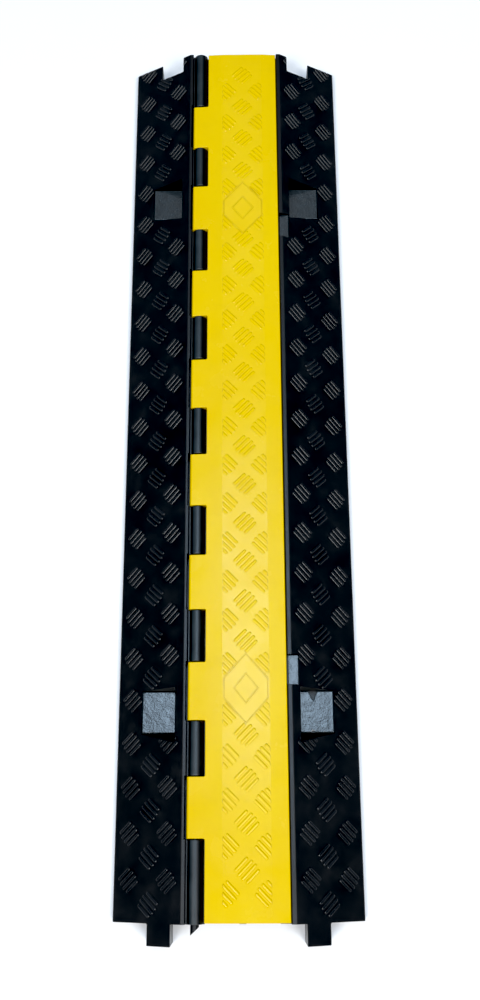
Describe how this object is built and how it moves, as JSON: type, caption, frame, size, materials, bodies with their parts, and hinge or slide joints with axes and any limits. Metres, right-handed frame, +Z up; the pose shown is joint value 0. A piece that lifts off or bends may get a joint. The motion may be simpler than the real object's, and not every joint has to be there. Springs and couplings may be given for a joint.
{
  "type": "cable protector ramp",
  "caption": "Low rubber floor ramp with lengthwise cable channels under a hinged lid, sloped tread sides, reflective pads and interlocking end tabs.",
  "frame": {"origin": "middle of the footprint on the ground, joining tabs included", "axes": "+Z up, +Y along the cable channels towards the end with the sockets, +X across the ramp away from the hinge"},
  "size_m": [0.248, 1.02, 0.0502],
  "materials": {
    "black_rubber": "moulded, satin, fine grain",
    "yellow_pvc": "moulded, frosted band and smoother margins",
    "rod_black": "smooth drawn rod",
    "reflective_grey": "satin retro-reflective sheet"
  },
  "bodies": {
    "base": {"base_ramp": "black_rubber", "hinge_rod": "rod_black", "reflector_front_left": "reflective_grey", "reflector_front_right": "reflective_grey", "reflector_rear_left": "reflective_grey", "reflector_rear_right": "reflective_grey", "lift_notch_pad_front": "reflective_grey", "lift_notch_pad_rear": "reflective_grey"},
    "lid": {"lid": "yellow_pvc"}
  },
  "joints": [
    {"name": "lid_hinge", "type": "hinge", "parent": "base", "child": "lid", "pos_m": [-0.042, 0, 0.0415], "axis": [0, -1, 0], "range_deg": [0, 95]}
  ]
}
